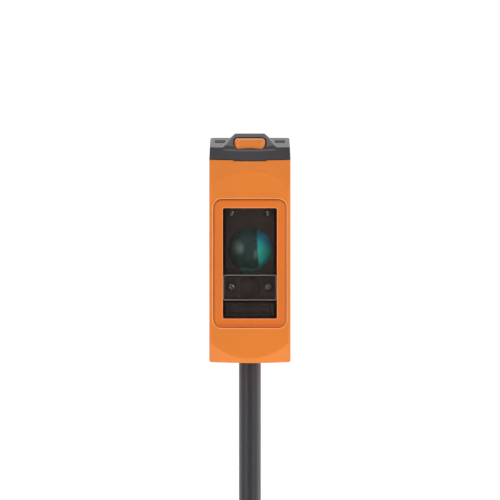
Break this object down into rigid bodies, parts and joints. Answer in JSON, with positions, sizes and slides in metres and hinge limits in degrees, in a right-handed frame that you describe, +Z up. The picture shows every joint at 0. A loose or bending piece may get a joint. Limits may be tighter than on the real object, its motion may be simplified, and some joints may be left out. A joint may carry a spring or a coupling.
{
  "type": "photoelectric sensor",
  "caption": "Miniature rectangular photoelectric sensor with front lens windows, a top teach button, side mounting holes and a fixed cable tied in a hank",
  "frame": {"origin": "midway between the two side mounting holes, on the mid-plane of the narrow width", "axes": "+Z up the tall side towards the teach button, -Y out of the lenses, X across the narrow width along the mounting holes"},
  "size_m": [0.0462, 0.0339, 0.1886],
  "materials": {
    "housing_plastic": "fine matt moulded orange",
    "bezel_plastic": "satin moulded orange",
    "button_plastic": "satin moulded orange",
    "cap_plastic": "fine matt dark grey",
    "window_clear": "clear polished",
    "carrier_black": "matt black",
    "receiver_lens_coated": "polished, teal coated",
    "emitter_lens_clear": "polished dark red",
    "seal_rubber": "soft black",
    "board_laminate": "green solder mask",
    "chip_resin": "moulded black resin",
    "ceramic_tan": "fired ceramic",
    "tinned_metal": "tinned",
    "led_white": "glossy white",
    "light_guide_smoked": "smoked, polished",
    "switch_plastic": "satin black",
    "sleeve_metal": "nickel plated, turned",
    "cable_jacket": "satin extruded black",
    "tie_plastic": "satin black nylon",
    "core_brown": "satin",
    "core_white": "satin",
    "core_blue": "satin",
    "core_black": "satin"
  },
  "bodies": {
    "sensor": {"board_link_pins": "tinned_metal", "buffer_capacitor": "ceramic_tan", "button_seal": "seal_rubber", "cable_clamp": "tinned_metal", "cable_grommet": "seal_rubber", "cable_hank": "cable_jacket", "cable_lead": "cable_jacket", "cable_tail": "cable_jacket", "cap_seal": "seal_rubber", "ceramic_capacitors": "ceramic_tan", "chip_resistors": "chip_resin", "control_board": "board_laminate", "control_board_contacts": "tinned_metal", "control_panel_cap": "cap_plastic", "core_ferrules": "tinned_metal", "emitter_aperture": "carrier_black", "emitter_led": "led_white", "emitter_lens": "emitter_lens_clear", "emitter_rivets": "carrier_black", "emitter_window": "window_clear", "free_core_black": "core_black", "free_core_blue": "core_blue", "free_core_brown": "core_brown", "free_core_white": "core_white", "front_bezel": "bezel_plastic", "hank_ties": "tie_plastic", "housing": "housing_plastic", "inner_core_black": "core_black", "inner_core_blue": "core_blue", "inner_core_brown": "core_brown", "inner_core_white": "core_white", "lower_mounting_sleeve": "sleeve_metal", "lower_window": "window_clear", "main_board": "board_laminate", "microcontroller": "chip_resin", "optics_board": "board_laminate", "optics_carrier": "carrier_black", "output_driver": "chip_resin", "output_light_guide": "light_guide_smoked", "output_status_led": "led_white", "power_light_guide": "light_guide_smoked", "power_status_led": "led_white", "receiver_aperture": "carrier_black", "receiver_lens": "receiver_lens_coated", "receiver_photodiode": "chip_resin", "receiver_shield_can": "tinned_metal", "receiver_window": "window_clear", "suppressor_diode": "chip_resin", "switch_body": "switch_plastic", "switch_dome": "tinned_metal", "upper_mounting_sleeve": "sleeve_metal", "upper_rivets": "carrier_black", "voltage_regulator": "chip_resin"},
    "teach_button": {"teach_button": "button_plastic"},
    "switch_plunger": {"switch_plunger": "switch_plastic"}
  },
  "joints": [
    {"name": "teach_button_press", "type": "slide", "parent": "sensor", "child": "teach_button", "axis": [0, 0, -1], "range_m": [0, 0.0006], "stiffness_N_per_m": 2500, "deforming": ["button_seal"]},
    {"name": "switch_plunger_press", "type": "slide", "parent": "sensor", "child": "switch_plunger", "axis": [0, 0, -1], "range_m": [0, 0.0003], "deforming": ["switch_dome"]}
  ],
  "couplings": [
    {"joint": "switch_plunger_press", "follows": "teach_button_press", "ratio": 0.5}
  ]
}
